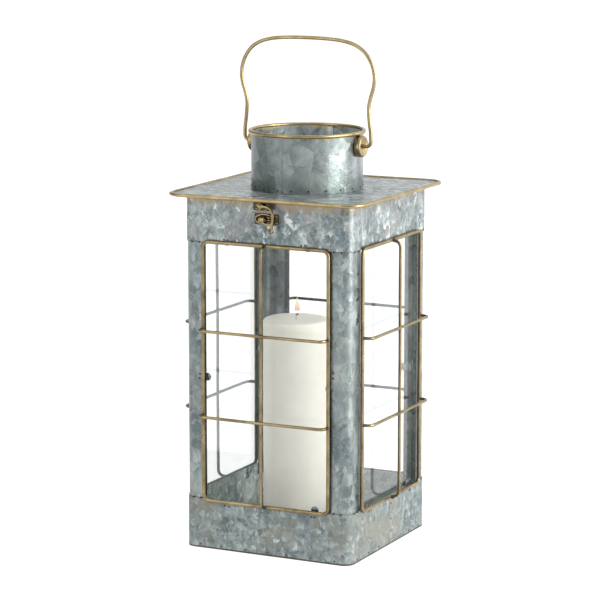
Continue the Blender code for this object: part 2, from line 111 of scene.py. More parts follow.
class Paint:
    # one material and its nodes

    def __init__(self, name):
        self.material = bpy.data.materials.new(name)
        self.material.use_nodes = True
        self.tree = self.material.node_tree
        self.tree.nodes.clear()

    def node(self, kind, settings=None, sockets=None):
        made = self.tree.nodes.new(kind)
        for key, value in (settings or {}).items():
            if key == "stops":
                ramp = made.color_ramp
                while len(ramp.elements) < len(value):
                    ramp.elements.new(0.5)
                for element, (place, colour) in zip(ramp.elements, value):
                    element.position = place
                    element.color = (*colour, 1)
            else:
                setattr(made, key, value)
        for key, value in (sockets or {}).items():
            if isinstance(value, Signal):
                self.tree.links.new(value.socket, made.inputs[key])
            else:
                made.inputs[key].default_value = value
        return Outputs(self, made)

    def here(self):
        return self.node("ShaderNodeTexCoord")["Object"]

    def split(self, vector):
        return self.node("ShaderNodeSeparateXYZ", {}, {0: vector})

    def mixColour(self, factor, first, second, blend="MIX"):
        settings = {"data_type": "RGBA", "blend_type": blend, "clamp_factor": True}
        second = (*second, 1) if isinstance(second, tuple) else second
        return self.node("ShaderNodeMix", settings, {0: factor, 6: first, 7: second})[2]

    def ramp(self, value, stops):
        return self.node("ShaderNodeValToRGB", {"stops": stops}, {0: value})["Color"]

    def between(self, value, low, high):
        # 0 below low, 1 above high, smooth in between
        settings = {"interpolation_type": "SMOOTHSTEP", "clamp": True}
        return self.node("ShaderNodeMapRange", settings, {0: value, 1: low, 2: high, 3: 0.0, 4: 1.0})[0]

    def vector(self, operation, *parts, scale=None, out="Vector"):
        sockets = dict(enumerate(parts))
        if scale is not None:
            sockets["Scale"] = scale
        return self.node("ShaderNodeVectorMath", {"operation": operation}, sockets)[out]

    def noise(self, place, scale, detail=3.0, roughness=0.55):
        sockets = {"Vector": place, "Scale": scale, "Detail": detail, "Roughness": roughness}
        return self.node("ShaderNodeTexNoise", {}, sockets)

    def outwards(self, here):
        # how far the surface faces away from the lantern's upright axis: 1 outwards, -1 inwards
        flat = self.vector("MULTIPLY", here, (1, 1, 0))
        squared = self.vector("MULTIPLY", flat, flat)
        fourth = self.vector("MULTIPLY", squared, squared)
        way = self.vector("NORMALIZE", self.vector("MULTIPLY", fourth, flat))
        facing = self.node("ShaderNodeTexCoord")["Normal"]
        return self.vector("DOT_PRODUCT", facing, way, out="Value")

    def bump(self, height, strength=1.0, distance=1.0):
        sockets = {"Strength": strength, "Distance": distance, "Height": height}
        return self.node("ShaderNodeBump", {}, sockets)["Normal"]

    def finish(self, sockets, normal=None):
        shader = self.node("ShaderNodeBsdfPrincipled", {}, sockets)
        if normal:
            self.tree.links.new(normal.socket, shader.node.inputs["Normal"])
        self.node("ShaderNodeOutputMaterial", {}, {"Surface": shader[0]})
        return self.material


zincColours = {
    "deep": (0.085, 0.103, 0.108),
    "dark": (0.158, 0.184, 0.189),
    "middle": (0.252, 0.284, 0.284),
    "light": (0.375, 0.408, 0.402),
    "bright": (0.62, 0.645, 0.625),
    "mauve": (0.268, 0.246, 0.252),
    "olive": (0.222, 0.215, 0.176),
    "gold": (0.30, 0.215, 0.10),
    "grime": (0.045, 0.036, 0.028),
}

zincPattern = {
    "ripple": 1.6, "shards": 0.8, "feathers": 2.6,  # how fine each is against the crystals
    "drawn": 0.86,  # how far the feathers are drawn out along the grain
    "clouds": 30.0, "grains": 520.0, "patches": 15.0, "strays": 60.0,  # how fine each is
    "leanShare": 0.30, "grainShare": 0.14, "tintShare": 0.85, "goldShare": 0.7, "hemShare": 0.9, "dirtShare": 0.75,
    "tones": ((0.18, "deep"), (0.38, "dark"), (0.51, "middle"), (0.65, "light"), (0.86, "bright")),
    "tints": ((0.1, (0.93, 1.0, 0.955)), (0.5, (0.98, 0.99, 0.985)), (0.9, (0.90, 0.965, 1.0))),
    "goldStray": 0.026, "hemStray": 0.0014, "dirtStray": 0.003,  # how far each edge wanders
    "feather": 0.010, "grain": 0.00002,  # depths in the bump
    "metal": 0.74,
}

# flake, ragged, stretch, shift: the crystals' size, jaggedness, shape and place
# cell, feather, cloud, glint: how strongly each marks the surface; tilt: how far the crystals lean in the bump
# patch, warmth: the dull patches' colour and strength; shade: brightness; inner: the inner faces' brightness against
# it, painted to stand in for the light inside
# goldLow to goldHigh: heights over which gold paint strays on to the sheet; hem: height below which the lower edge is
# darker
# wireEdge: how far out a window's wire lies, beside which the sheet gets painted shadow; lean: the way in which the
# sheet is brighter, a painted highlight on that side
plainZinc = {
    "ragged": 0.9, "stretch": (1, 1, 0.8), "shift": (0.0, 0.0, 0.0), "tilt": 0.05, "patch": "olive", "warmth": 0.75,
    "goldLow": 1.0, "goldHigh": 1.1, "hem": -1.0, "wireEdge": 0.0, "lean": None,
}
zincLooks = {
    "base": {"flake": 0.0085, "ragged": 0.75, "stretch": (1, 1, 0.9), "cell": 0.22, "feather": 0.55, "cloud": 0.36,
             "glint": 0.14, "rough": 0.47, "shade": 0.98, "hem": 0.0024, "inner": 2.1},
    "post": {"flake": 0.0130, "stretch": (1, 1, 0.7), "shift": (0.31, 0.12, 0.07), "cell": 0.15, "feather": 0.50,
             "cloud": 0.62, "glint": 0.12, "rough": 0.31, "warmth": 0.30, "shade": 0.94, "wireEdge": 0.0798,
             "inner": 0.72},
    "top": {"flake": 0.0120, "stretch": (1, 1, 0.85), "shift": (0.11, 0.43, 0.21), "cell": 0.20, "feather": 0.85,
            "cloud": 0.42, "glint": 0.60, "tilt": 0.10, "rough": 0.34, "patch": "mauve", "shade": 1.0,
            "goldLow": 0.3905, "goldHigh": 0.4050, "hem": 0.3535, "inner": 1.3},
    "lid": {"flake": 0.0090, "stretch": (0.6, 1.2, 1), "shift": (0.05, 0.27, 0.51), "cell": 0.36, "feather": 1.20,
            "cloud": 0.50, "glint": 0.45, "tilt": 0.10, "rough": 0.38, "patch": "mauve", "warmth": 0.10,
            "shade": 1.06, "inner": 1.0},
    "collar": {"flake": 0.0220, "ragged": 0.28, "shift": (0.17, 0.03, 0.33), "cell": 0.14, "feather": 0.42,
               "cloud": 0.60, "glint": 0.06, "tilt": 0.08, "rough": 0.30, "patch": "mauve", "warmth": 0.08,
               "shade": 0.70, "goldLow": 0.4672, "goldHigh": 0.4712, "lean": (1.8, -0.2, 0.0), "inner": 2.0},
}
zincLooks["tab"] = {**zincLooks["post"], "wireEdge": 0.0, "shade": 1.0, "inner": 1.2}


def makeZinc(name):
    look = {**plainZinc, **zincLooks[name]}
    pattern = zincPattern
    size = look["flake"]
    paint = Paint("galvanised_" + name)
    here = paint.here()
    place = {"Vector": here, "Location": look["shift"], "Scale": look["stretch"]}
    moved = paint.node("ShaderNodeMapping", {}, place)[0]

    # the crystals' outlines are ragged, so the place is rippled before the cells are cut
    ripple = paint.noise(moved, pattern["ripple"] / size, 4.0, 0.66)["Color"]
    reach = look["ragged"] * size
    bent = paint.vector("MULTIPLY_ADD", ripple, (reach, reach, reach), moved)
    cellCut = {"feature": "F1"}
    shards = paint.node("ShaderNodeTexVoronoi", cellCut, {"Vector": bent, "Scale": pattern["shards"] / size})["Color"]
    bent = paint.vector("MULTIPLY_ADD", shards, (size, size, size), bent)
    cells = paint.node("ShaderNodeTexVoronoi", cellCut, {"Vector": bent, "Scale": 1 / size})
    tone = paint.node("ShaderNodeSeparateColor", {}, {0: cells["Color"]})

    # each crystal leans its own way, and its feathery grain runs that way
    fromMiddle = paint.vector("SUBTRACT", bent, cells["Position"])
    leaning = paint.vector("SUBTRACT", cells["Color"], (0.5, 0.5, 0.5))
    lean = paint.vector("DOT_PRODUCT", fromMiddle, leaning, out="Value")
    grainWay = paint.vector("NORMALIZE", leaning)
    along = paint.vector("DOT_PRODUCT", fromMiddle, grainWay, out="Value")
    drawn = paint.vector("SCALE", grainWay, scale=along * pattern["drawn"])
    drawn = paint.vector("SUBTRACT", bent, drawn)
    feather = paint.noise(drawn, pattern["feathers"] / size, 4.0, 0.6)["Fac"]

    cloud = paint.noise(moved, pattern["clouds"])["Fac"]
    grain = paint.noise(moved, pattern["grains"], 2.0)["Fac"]
    # painted shading: each crystal is lighter on the side it leans towards, as a tilted facet would catch the light
    light = 0.5 + (tone["Red"] - 0.5) * look["cell"] + lean * (pattern["leanShare"] * look["cell"] / (0.2 * size))
    # painted highlight: the sheet grows brighter towards one side, as if lit from there
    if look["lean"]:
        light = light + paint.vector("DOT_PRODUCT", here, look["lean"], out="Value")
    light = light + (feather - 0.5) * look["feather"] + (cloud - 0.5) * look["cloud"]
    light = light + (grain - 0.5) * pattern["grainShare"]
    colour = paint.ramp(light, [(place, zincColours[shade]) for place, shade in pattern["tones"]])
    colour = paint.mixColour(pattern["tintShare"], colour, paint.ramp(tone["Green"], pattern["tints"]), "MULTIPLY")

    # bright crescents where a crystal's edge catches the light
    glint = paint.between(lean * (1 / size) + (feather - 0.5) * 0.7, 0.13, 0.30) * look["glint"]
    colour = paint.mixColour(glint, colour, zincColours["bright"])

    # a few crystals and clouds have gone warm and dull
    patches = paint.noise(moved, pattern["patches"])["Fac"]
    warm = paint.between(tone["Blue"] * 0.22 + patches, 0.58, 0.80)
    colour = paint.mixColour(warm * look["warmth"], colour, zincColours[look["patch"]])
    colour = paint.mixColour(1.0, colour, (look["shade"],) * 3, "MULTIPLY")

    height = paint.split(here)["Z"]
    stray = paint.noise(here, pattern["strays"], 4.0, 0.7)["Fac"] - 0.5
    smear = paint.between(height + stray * pattern["goldStray"], look["goldLow"], look["goldHigh"])
    colour = paint.mixColour(smear * pattern["goldShare"], colour, zincColours["gold"])
    hem = 1 - paint.between(height + stray * pattern["hemStray"], look["hem"] - 0.0009, look["hem"])
    colour = paint.mixColour(hem * pattern["hemShare"], colour, zincColours["grime"])

    # painted shadow where a window's wire lies against the sheet, with some dirt: the sheet is darker there
    sides = paint.split(paint.vector("ABSOLUTE", here))
    nearer = paint.node("ShaderNodeMath", {"operation": "MINIMUM"}, {0: sides["X"], 1: sides["Y"]})[0]
    edge = look["wireEdge"]
    wireShadeAndDirt = 1 - paint.between(nearer + stray * pattern["dirtStray"], edge - 0.0010, edge + 0.0012)
    colour = paint.mixColour(wireShadeAndDirt * pattern["dirtShare"], colour, zincColours["grime"])

    # painted light: the inner faces get their own brightness, standing in for the light that reaches inside, and are
    # duller
    inside = 1 - paint.between(paint.outwards(here), -0.6, -0.1)
    colour = paint.mixColour(inside, colour, paint.vector("SCALE", colour, scale=look["inner"]))

    rough = look["rough"] + (tone["Red"] - 0.5) * 0.10 + (feather - 0.5) * 0.25 + (cloud - 0.5) * 0.12 + warm * 0.08
    metal = pattern["metal"] - warm * 0.2 - hem * 0.4 - inside * 0.3
    relief = lean * look["tilt"] + feather * (pattern["feather"] * size) + grain * pattern["grain"]
    return paint.finish({"Base Color": colour, "Roughness": rough, "Metallic": metal}, paint.bump(relief))


goldLook = {
    "bright": (0.43, 0.335, 0.175),
    "middle": (0.235, 0.178, 0.088),
    "dark": (0.070, 0.052, 0.028),
    "bare": (0.050, 0.050, 0.044),
    "cloudShare": 0.60, "speckShare": 0.18,
}


def makeGold(name, darkness, rough, facing=None):
    # facing: with it, only what faces outwards is gold, with painted shade darkening its sides, and the rest is bare
    # wire darkened further as painted shade
    paint = Paint(name)
    here = paint.here()
    cloud = paint.noise(here, 45.0, 4.0, 0.62)["Fac"]
    speck = paint.noise(here, 380.0, 3.0, 0.6)["Fac"]
    light = 0.56 + (cloud - 0.5) * goldLook["cloudShare"] + (speck - 0.5) * goldLook["speckShare"] - darkness
    colour = paint.ramp(light, [(0.30, goldLook["dark"]), (0.47, goldLook["middle"]), (0.72, goldLook["bright"])])
    if facing:
        away = paint.outwards(here) + (speck - 0.5) * 0.3
        # painted shade: the sides of a wire or latch part are darker the further they turn from outwards
        paintedSideShade = paint.between(away, *facing) * 0.5 + 0.5
        colour = paint.vector("SCALE", colour, scale=paintedSideShade)
        colour = paint.mixColour(paint.between(away, -0.30, 0.05), (*goldLook["bare"], 1), colour)
    roughness = rough + (0.6 - cloud) * 0.35
    metal = paint.between(light, 0.22, 0.42) * 0.35 + 0.6
    relief = paint.bump(speck * 0.5 + cloud, 0.15, 0.0004)
    return paint.finish({"Base Color": colour, "Roughness": roughness, "Metallic": metal}, relief)


def makeSolder():
    paint = Paint("weld_spot")
    cloud = paint.noise(paint.here(), 700.0)["Fac"]
    colour = paint.ramp(cloud, [(0.35, (0.018, 0.016, 0.016)), (0.65, (0.085, 0.070, 0.055))])
    relief = paint.bump(cloud, 0.5, 0.0003)
    return paint.finish({"Base Color": colour, "Roughness": 0.5 + cloud * 0.2, "Metallic": 0.4}, relief)


glassLook = {"clear": (0.987, 0.993, 0.990, 1), "gloss": (0.86, 0.90, 0.91, 1), "bend": 1.48, "shine": 0.28}


def makeGlass():
    paint = Paint("window_glass")
    haze = paint.noise(paint.here(), 12.0)["Fac"]
    shine = paint.node("ShaderNodeFresnel", {}, {"IOR": glassLook["bend"]})[0]
    clear = paint.node("ShaderNodeBsdfTransparent", {}, {"Color": glassLook["clear"]})[0]
    gloss = {"Base Color": glassLook["gloss"], "Metallic": 1.0, "Roughness": 0.05 + haze * 0.05}
    gloss = paint.node("ShaderNodeBsdfPrincipled", {}, gloss)[0]
    mixed = paint.node("ShaderNodeMixShader", {}, {0: shine * glassLook["shine"], 1: clear, 2: gloss})[0]
    paint.node("ShaderNodeOutputMaterial", {}, {"Surface": mixed})
    return paint.material


waxLook = {"pale": (0.52, 0.51, 0.465), "cream": (0.48, 0.465, 0.42), "depth": 0.030, "glow": 0.43}


def makeWax():
    paint = Paint("ivory_wax")
    here = paint.here()
    cloud = paint.noise(here, 22.0, 4.0, 0.6)["Fac"]
    mottle = paint.noise(here, 240.0)["Fac"]
    colour = paint.ramp(cloud * 0.8 + mottle * 0.25, [(0.38, waxLook["cream"]), (0.66, waxLook["pale"])])
    # painted light: the whole wax glows evenly, to even out its shading
    made = {
        "Base Color": colour, "Roughness": 0.46 + (mottle - 0.5) * 0.2, "Subsurface Weight": 0.85,
        "Subsurface Radius": (1.0, 0.75, 0.5), "Subsurface Scale": waxLook["depth"], "IOR": 1.44,
        "Emission Color": colour, "Emission Strength": waxLook["glow"],
    }
    return paint.finish(made, paint.bump(mottle * 0.4 + cloud, 0.25, 0.0005))


wickLook = {"pale": (0.60, 0.57, 0.50, 1), "burnt": (0.022, 0.018, 0.016), "burntFrom": 0.0028, "burntTo": 0.0018}


def makeCotton(tip):
    paint = Paint("wick_cotton")
    here = paint.here()
    height = paint.split(here)["Z"]
    strands = paint.node("ShaderNodeTexWave", {"wave_type": "BANDS", "bands_direction": "DIAGONAL"},
                         {"Vector": here, "Scale": 420.0, "Distortion": 2.0})["Fac"]
    burnt = paint.between(height, tip - wickLook["burntFrom"], tip - wickLook["burntTo"])
    colour = paint.mixColour(burnt, wickLook["pale"], wickLook["burnt"])
    relief = paint.bump(strands, 0.6, 0.0002)
    return paint.finish({"Base Color": colour, "Roughness": 0.85 + strands * 0.1}, relief)


flameStops = ((0.12, (0.42, 0.32, 0.36)), (0.28, (0.86, 0.55, 0.42)), (0.50, (1.0, 0.74, 0.50)),
              (0.80, (1.0, 0.84, 0.62)), (1.0, (1.0, 0.74, 0.46)))


def makeFlame(low, high):
    paint = Paint("flame")
    height = paint.split(paint.here())["Z"]
    rise = paint.node("ShaderNodeMapRange", {}, {0: height, 1: low, 2: high})[0]
    return paint.finish({
        "Base Color": (0.0, 0.0, 0.0, 1), "Roughness": 1.0, "Emission Color": paint.ramp(rise, flameStops),
        "Emission Strength": 1.0, "Alpha": paint.between(rise, 0.04, 0.30) * 0.88,
    })


# each finish is a material and its slot
steel = "galvanised_steel"
brass = "antique_brass"
zinc = {name: (makeZinc(name), steel) for name in zincLooks}
gold = (makeGold("gold_paint", -0.05, 0.30), brass)
wireGold = (makeGold("wire_gold", 0.05, 0.28, (0.05, 0.75)), brass)
latchGold = (makeGold("latch_gold", -0.04, 0.24, (0.30, 0.95)), brass)
# dark old gold; on the keeper plate and the hook's teardrop it is also painted shade
darkGold = (makeGold("old_gold_and_shade", 0.36, 0.42), brass)
solder = (makeSolder(), steel)
windowGlass = makeGlass()
wax = (makeWax(), "ivory_wax")
print("materials made")


def makePiece(name, bm, finish, body, *replaced, sharp=38):
    material, slot = finish
    mesh = bpy.data.meshes.new(name)
    bm.to_mesh(mesh)
    bm.free()
    item = bpy.data.objects.new(name, mesh)
    scene.collection.objects.link(item)
    mesh.materials.append(material)
    smoothOver(item, sharp)
    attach(item, body)
    if replaced:
        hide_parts(*replaced)
    return item


def smoothOver(item, sharp=38):
    item.data.shade_smooth()
    item.data.set_sharp_from_angle(angle=radians(sharp))


def addWall(item, thickness, offset=-1.0, softening=0.0):
    # gives an open sheet its thickness, and softens its edges
    wall = item.modifiers.new("wall", "SOLIDIFY")
    wall.thickness = thickness
    wall.offset = offset
    wall.use_even_offset = True
    if softening:
        soft = item.modifiers.new("soft", "BEVEL")
        soft.width = softening
        soft.segments = 2
        soft.limit_method = "ANGLE"
        soft.angle_limit = radians(40)
    # the modifiers are worked into the mesh, and the sharp edges are marked again
    bpy.context.view_layer.update()
    graph = bpy.context.evaluated_depsgraph_get()
    mesh = bpy.data.meshes.new_from_object(item.evaluated_get(graph))
    item.modifiers.clear()
    item.data = mesh
    smoothOver(item)


def pour(bm, other):
    # adds the second mesh to the first
    mesh = bpy.data.meshes.new("poured")
    other.to_mesh(mesh)
    other.free()
    bm.from_mesh(mesh)
    bpy.data.meshes.remove(mesh)


def shifted(bm, move):
    bmesh.ops.translate(bm, vec=move, verts=bm.verts)
    return bm


def rotated(bm, turn):
    bmesh.ops.rotate(bm, cent=(0, 0, 0), matrix=turn, verts=bm.verts)
    return bm


def beveled(bm, geom, width, segments, affect="EDGES"):
    bmesh.ops.bevel(bm, geom=geom, offset=width, offset_type="OFFSET", segments=segments, profile=0.5,
                    affect=affect, material=-1)


def moveGrown(bm, made, move):
    # moves what an extrude has just made
    grown = [v for v in made["geom"] if isinstance(v, bmesh.types.BMVert)]
    bmesh.ops.translate(bm, vec=move, verts=grown)


def divideUprights(bm, least, rows):
    # cuts across the edges that climb more than the least height
    upright = [e for e in bm.edges if abs(e.verts[0].co.z - e.verts[1].co.z) > least]
    bmesh.ops.subdivide_edges(bm, edges=upright, cuts=rows, use_grid_fill=True)


def block(low, high, soft=0.0):
    bm = bmesh.new()
    bmesh.ops.create_cube(bm, size=1)
    low, high = Vector(low), Vector(high)
    bmesh.ops.scale(bm, vec=high - low, verts=bm.verts)
    shifted(bm, (low + high) / 2)
    if soft:
        beveled(bm, bm.edges[:], soft, 2)
    return bm


def lathe(profile, middle, axis, steps):
    # profile is (radius, distance along the axis) from one pole or rim to the other
    bm = bmesh.new()
    verts = [bm.verts.new((radius, 0, along)) for radius, along in profile]
    edges = [bm.edges.new(pair) for pair in zip(verts, verts[1:])]
    bmesh.ops.spin(bm, geom=verts + edges, cent=(0, 0, 0), axis=(0, 0, 1), angle=tau, steps=steps, use_merge=True)
    bmesh.ops.remove_doubles(bm, verts=bm.verts, dist=1e-6)
    bmesh.ops.recalc_face_normals(bm, faces=bm.faces)
    turn = Vector((0, 0, 1)).rotation_difference(Vector(axis)).to_matrix()
    return shifted(rotated(bm, turn), middle)


def tube(points, radius, closed=False, sides=4):
    # points are (x, y, z) or (x, y, z, share of the radius)
    curve = bpy.data.curves.new("tube", "CURVE")
    curve.dimensions = "3D"
    curve.bevel_depth = radius
    curve.bevel_resolution = sides
    curve.use_fill_caps = not closed
    spline = curve.splines.new("POLY")
    spline.points.add(len(points) - 1)
    for knot, point in zip(spline.points, points):
        knot.co = (*point[:3], 1)
        knot.radius = point[3] if len(point) > 3 else 1
    spline.use_cyclic_u = closed
    item = bpy.data.objects.new("tube", curve)
    scene.collection.objects.link(item)
    mesh = bpy.data.meshes.new_from_object(item.evaluated_get(bpy.context.evaluated_depsgraph_get()))
    bpy.data.objects.remove(item)
    bm = bmesh.new()
    bm.from_mesh(mesh)
    bpy.data.meshes.remove(mesh)
    bmesh.ops.remove_doubles(bm, verts=bm.verts, dist=1e-6)
    bmesh.ops.recalc_face_normals(bm, faces=bm.faces)
    return bm


def blob(middle, size, turn=None, fineness=2):
    bm = bmesh.new()
    bmesh.ops.create_icosphere(bm, subdivisions=fineness, radius=1)
    bmesh.ops.scale(bm, vec=size, verts=bm.verts)
    if turn:
        rotated(bm, turn)
    return shifted(bm, middle)


def arc(middleA, middleB, radius, start, end, steps):
    turns = [start + (end - start) * i / steps for i in range(steps + 1)]
    return [(middleA + radius * cos(t), middleB + radius * sin(t)) for t in turns]


def oval(halfA, halfB, steps):
    return [(halfA * cos(tau * i / steps), halfB * sin(tau * i / steps)) for i in range(steps)]


def roundedLoop(halfA, halfB, corner, steps, along=1):
    # a rounded rectangle, with each straight side divided along its length
    corners = []
    for sideA, sideB, start in ((1, -1, -90), (1, 1, 0), (-1, 1, 90), (-1, -1, 180)):
        middle = (sideA * (halfA - corner), sideB * (halfB - corner))
        corners.append(arc(*middle, corner, radians(start), radians(start + 90), steps))
    points = []
    for here, after in zip(corners, corners[1:] + corners[:1]):
        points += here
        points += [tuple(Vector(here[-1]).lerp(Vector(after[0]), i / along)) for i in range(1, along)]
    return points


def smoothPath(points, steps):
    # a smooth curve through every point
    points = [Vector(p) for p in points]
    knots = [2 * points[0] - points[1], *points, 2 * points[-1] - points[-2]]
    path = []
    for before, here, after, beyond in zip(knots, knots[1:], knots[2:], knots[3:]):
        for i in range(steps):
            t = i / steps
            bend = 2 * before - 5 * here + 4 * after - beyond
            twist = 3 * here - before - 3 * after + beyond
            path.append(0.5 * (2 * here + (after - before) * t + bend * t ** 2 + twist * t ** 3))
    path.append(knots[-2])
    return path


def quarterTurn(quarter, size=3):
    # the turn that carries the front round to another side
    return Matrix.Rotation(radians(90 * quarter), size, "Z")


def turned(point, quarter):
    return quarterTurn(quarter) @ Vector(point)


def wobbled(point, amount, pitch=0.09):
    return Vector(point) + noise.noise_vector(Vector(point) / pitch) * amount


def faceToward(bm, face, way):
    # makes an open sheet's normals agree, with this face's pointing that way
    bmesh.ops.recalc_face_normals(bm, faces=bm.faces)
    bm.normal_update()
    if face.normal.dot(way) < 0:
        bmesh.ops.reverse_faces(bm, faces=bm.faces)


def faceOut(bm):
    # an open wall's normals point away from the middle
    face = max(bm.faces, key=lambda f: f.calc_center_median().to_2d().length)
    faceToward(bm, face, face.calc_center_median() * Vector((1, 1, 0)))


def makeSheet(name, bm, finish, body, node, sizes):
    # sheet metal is never quite flat
    bm.normal_update()
    for vert in bm.verts:
        vert.co += vert.normal * (noise.noise(vert.co / sizes["pitch"]) * sizes["wave"])
    addWall(makePiece(name, bm, finish, body, node), sizes["sheet"])


def middleOf(corners):
    return (corners[0] + corners[1]) / 2


band = {
    "corner": 0.012, "cornerSteps": 10, "sheet": 0.0008, "rows": 7, "across": 26, "wave": 0.00022, "pitch": 0.045,
    "lapFront": -0.006, "lapRear": 0.0073, "lapDepth": 0.0006, "lapProud": 0.0007, "lapShy": 0.0004, "lapSoft": 0.0002,
}


def makeBand(name, node, finish):
    low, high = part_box(node)
    half = high.x
    bm = block((-half, -half, low.z), (half, half, high.z))
    bmesh.ops.delete(bm, geom=[f for f in bm.faces if abs(f.normal.z) > 0.5], context="FACES_ONLY")
    tall = (high.z - low.z) / 2
    corners = [e for e in bm.edges if abs(e.verts[0].co.z - e.verts[1].co.z) > tall]
    beveled(bm, corners, band["corner"], band["cornerSteps"])
    divideUprights(bm, tall, band["rows"])
    level = [e for e in bm.edges if e.calc_length() > half]
    bmesh.ops.subdivide_edges(bm, edges=level, cuts=band["across"], use_grid_fill=True)
    faceOut(bm)
    makeSheet(name, bm, finish, "lantern_body", node, band)


def makeBaseLap():
    # the base sheet's lapped ends, on the right side
    low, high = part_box("base_band")
    depth, shy = band["lapDepth"], band["lapShy"]
    bm = block((high.x - depth, band["lapFront"], low.z + shy),
               (high.x + band["lapProud"], band["lapRear"], high.z - shy), band["lapSoft"])
    for vert in bm.verts:
        if vert.co.y < 0 and vert.co.x > high.x:
            vert.co.x -= depth
    makePiece("baseLap", bm, zinc["base"], "lantern_body")


makeBand("baseBand", "base_band", zinc["base"])
makeBand("topBand", "top_band", zinc["top"])
makeBaseLap()
print("bands made")


post = {"leg": 0.0280, "corner": 0.0109, "cornerSteps": 10, "sheet": 0.0008, "rows": 28, "wave": 0.00018,
             "pitch": 0.06}
postNames = ("front_right", "rear_right", "rear_left", "front_left")


def makePosts():
    low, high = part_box("corner_post_front_right")
    half, tall = high.x, high.z - low.z
    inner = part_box("base_band")[1].x - post["leg"]
    for quarter, name in enumerate(postNames):
        bm = bmesh.new()
        path = [bm.verts.new(p) for p in ((inner, -half, low.z), (half, -half, low.z), (half, -inner, low.z))]
        edges = [bm.edges.new(pair) for pair in zip(path, path[1:])]
        moveGrown(bm, bmesh.ops.extrude_edge_only(bm, edges=edges), (0, 0, tall))
        fold = [e for e in bm.edges if all(abs(v.co.x - half) + abs(v.co.y + half) < 1e-6 for v in e.verts)]
        beveled(bm, fold, post["corner"], post["cornerSteps"])
        divideUprights(bm, tall / 2, post["rows"])
        faceOut(bm)
        rotated(bm, quarterTurn(quarter))
        label = "post" + name.title().replace("_", "")
        makeSheet(label, bm, zinc["post"], "lantern_body", "corner_post_" + name, post)


makePosts()
print("posts made")


lid = {
    "corner": 0.018, "sheet": 0.0008, "ring": 128, "rings": 9, "wave": 0.00045, "pitch": 0.05, "calm": 0.02,
    "lip": 0.006, "lipRadius": 0.0624, "wire": 0.0021, "wireCorner": 0.0204, "wobble": 0.0003, "wobblePitch": 0.06,
}


def squareReach(half, corner, angle):
    # how far the rounded square's edge is from its middle, in a direction
    way = Vector((abs(cos(angle)), abs(sin(angle))))
    flat = half / max(way)
    if min(way) * flat <= half - corner:
        return flat
    core = Vector((half - corner, half - corner))
    along = way.dot(core)
    return along + sqrt(max(0.0, corner ** 2 - core.length_squared + along ** 2))


def makeLid():
    low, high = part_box("lid_plate")
    half = high.x
    top = low.z + lid["sheet"]
    hole = lid["lipRadius"]
    bm = bmesh.new()
    inner = bmesh.ops.create_circle(bm, segments=lid["ring"], radius=hole)["verts"]
    outer = bmesh.ops.create_circle(bm, segments=lid["ring"], radius=1)["verts"]
    for vert in outer:
        vert.co = vert.co * squareReach(half, lid["corner"], atan2(vert.co.y, vert.co.x))
    rim = [e for e in bm.edges if all(v in inner for v in e.verts)]
    bmesh.ops.bridge_loops(bm, edges=bm.edges[:])
    spokes = [e for e in bm.edges if abs(e.verts[0].co.length - e.verts[1].co.length) > 0.02]
    bmesh.ops.subdivide_edges(bm, edges=spokes, cuts=lid["rings"], use_grid_fill=True)
    shifted(bm, (0, 0, top))
    # the plate is wavy, but calm beside its hole and its edge
    for vert in bm.verts:
        fromHole = vert.co.to_2d().length - hole
        fromEdge = half - max(abs(vert.co.x), abs(vert.co.y))
        fade = min(1.0, max(0.0, fromHole / lid["calm"]))
        edge = min(1.0, max(0.0, fromEdge / lid["calm"]))
        vert.co.z += noise.noise(vert.co / lid["pitch"]) * lid["wave"] * fade * edge
    moveGrown(bm, bmesh.ops.extrude_edge_only(bm, edges=rim), (0, 0, lid["lip"]))
    faceToward(bm, max(bm.faces, key=lambda f: f.calc_area()), Vector((0, 0, 1)))
    item = makePiece("lidPlate", bm, zinc["lid"], "lid", "lid_plate")
    addWall(item, lid["sheet"])

    wire = lid["wire"]
    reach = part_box("lid_rim")[1].x - wire
    level = top - lid["sheet"] / 2
    points = [wobbled((x, y, level), lid["wobble"], lid["wobblePitch"])
              for x, y in roundedLoop(reach, reach, lid["wireCorner"], 10, 16)]
    makePiece("lidRim", tube(points, wire, True), gold, "lid", "lid_rim")


collar = {
    "ring": 144, "rows": 8, "sheet": 0.0008, "wave": 0.00035, "pitch": 0.03, "wire": 0.0022, "wobble": 0.00025,
    "tuck": 0.0014,  # how far the wall runs up into its edge wire
    "lapLeft": -0.007, "lapRight": 0.003, "lapDepth": 0.0010, "lapSunk": 0.0002, "lapUp": 0.007, "lapShy": 0.0005,
    "lapSoft": 0.0002,
}


def makeCollar():
    low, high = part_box("collar")
    high.z += collar["tuck"]
    radius = high.x
    bm = lathe([(radius, low.z), (radius, high.z)], (0, 0, 0), (0, 0, 1), collar["ring"])
    divideUprights(bm, (high.z - low.z) / 2, collar["rows"])
    faceOut(bm)
    makeSheet("collarWall", bm, zinc["collar"], "lid", "collar", collar)

    # the lapped ends of the collar's sheet, inside at the rear
    inside = radius - collar["sheet"]
    bm = block((collar["lapLeft"], inside - collar["lapDepth"], low.z + collar["lapUp"]),
               (collar["lapRight"], inside + collar["lapSunk"], high.z - collar["lapShy"]), collar["lapSoft"])
    makePiece("collarLap", bm, zinc["collar"], "lid")

    wire = collar["wire"]
    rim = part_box("collar_rim")
    reach = rim[1].x - wire
    level = middleOf(rim).z
    points = [wobbled((x, y, level), collar["wobble"], collar["pitch"]) for x, y in oval(reach, reach, 96)]
    makePiece("collarRim", tube(points, wire, True), gold, "lid", "collar_rim")


makeLid()
makeCollar()
print("lid and collar made")


